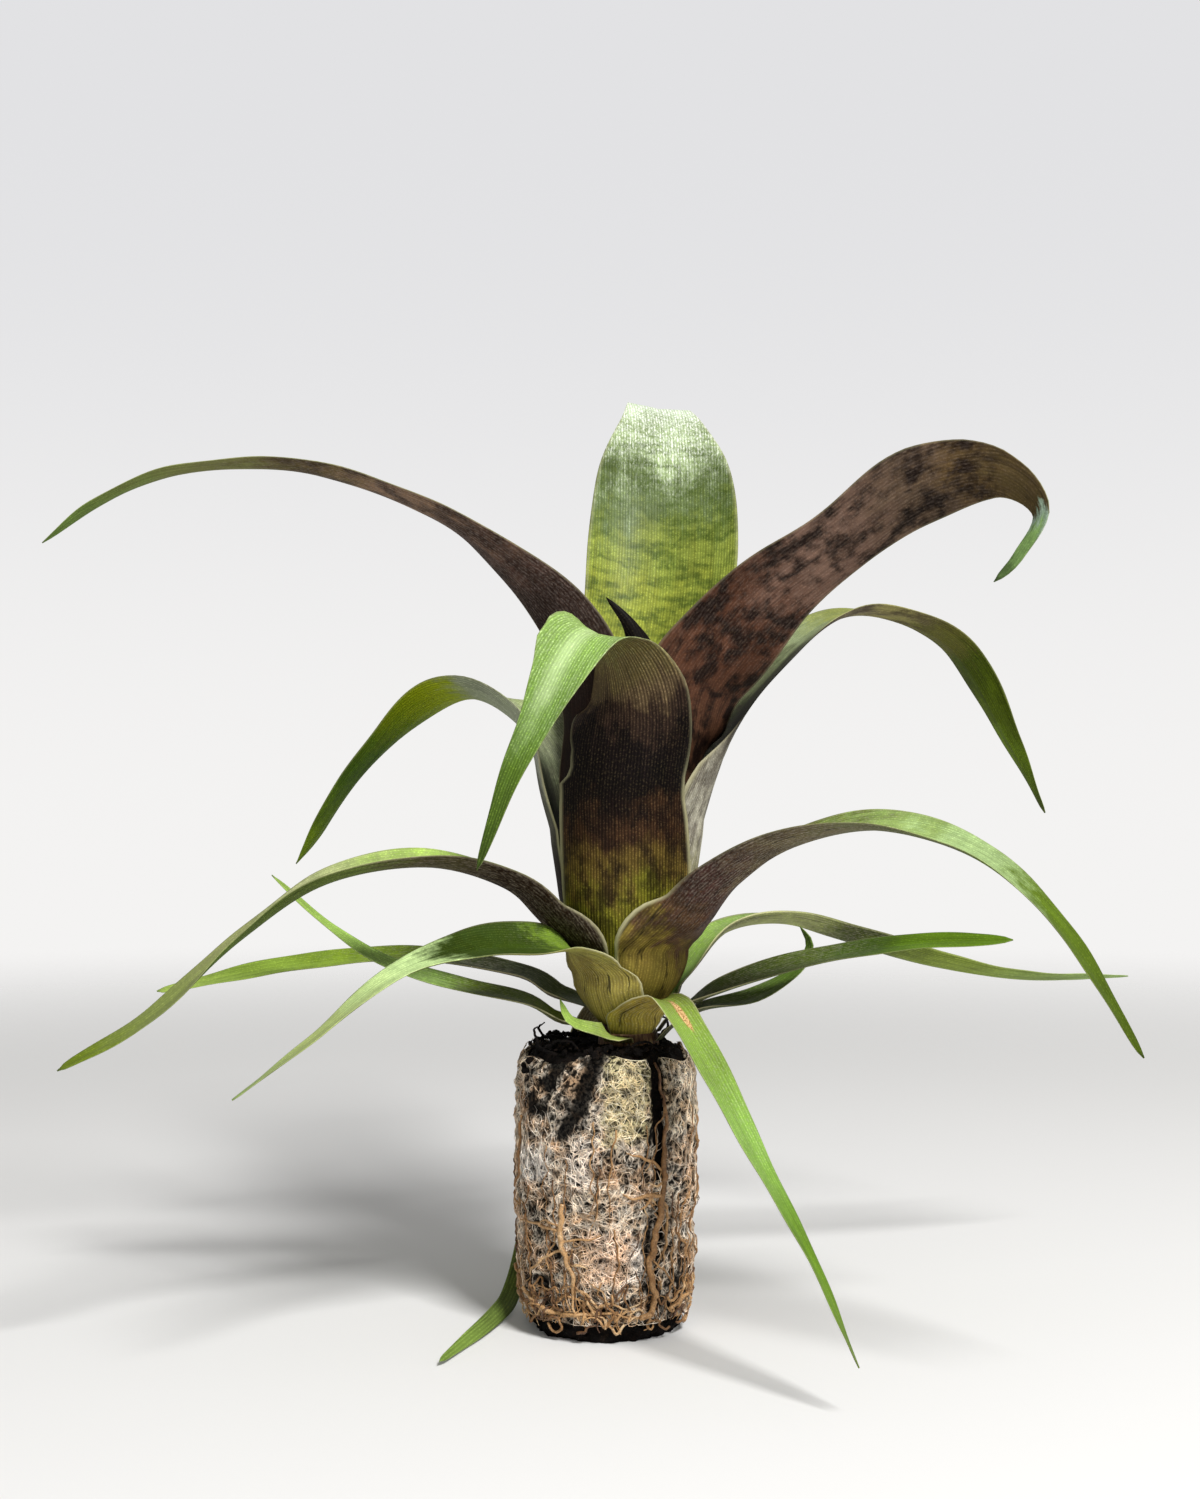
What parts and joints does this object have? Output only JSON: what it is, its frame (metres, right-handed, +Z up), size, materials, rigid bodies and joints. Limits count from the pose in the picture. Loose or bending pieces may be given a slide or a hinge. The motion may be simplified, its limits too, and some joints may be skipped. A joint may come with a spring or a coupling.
{
  "type": "young vriesea plant in a rooting plug",
  "caption": "Young bromeliad with strap leaves round a leafy cup, bare-rooted in a fleece-wrapped peat plug that stands on its flat foot.",
  "frame": {"origin": "middle of the plug's flat foot, on the ground", "axes": "+Z up along the plug and the trunk, +X to the plant's right as seen from the front, the front faces -Y"},
  "size_m": [0.2254, 0.1707, 0.1937],
  "materials": {
    "leaf": "satin, waxy leaf skin",
    "leaf_dark": "satin, mottled purple-brown leaf skin",
    "stem": "matt",
    "peat": "matt, crumbly",
    "fleece": "matt, matted fibre",
    "root": "satin"
  },
  "bodies": {
    "root": {"plug_core": "peat", "plug_wrap": "fleece", "stem": "stem", "leaf_spear": "leaf_dark", "leaf_back_upright": "leaf", "leaf_upper_right": "leaf", "leaf_upper_left": "leaf", "leaf_middle_right": "leaf", "leaf_middle_left": "leaf", "leaf_front_folded": "leaf_dark", "leaf_lower_right": "leaf_dark", "leaf_lower_left": "leaf_dark", "leaf_back_arching": "leaf", "leaf_front_left": "leaf", "leaf_right_trailing": "leaf", "leaf_left_slender": "leaf", "leaf_front_drooping": "leaf", "leaf_right_blunt": "leaf", "leaf_left_upcurved": "leaf", "leaf_back_low": "leaf", "leaf_basal_curl": "leaf", "leaf_right_curled": "leaf", "leaf_back_drooping": "leaf", "root_seam": "root", "root_front_left": "root", "root_left": "root", "root_right": "root", "root_ring_front": "root", "root_ring_right": "root", "root_back": "root", "root_back_left": "root", "root_back_right": "root", "root_ring_back": "root"}
  },
  "joints": []
}
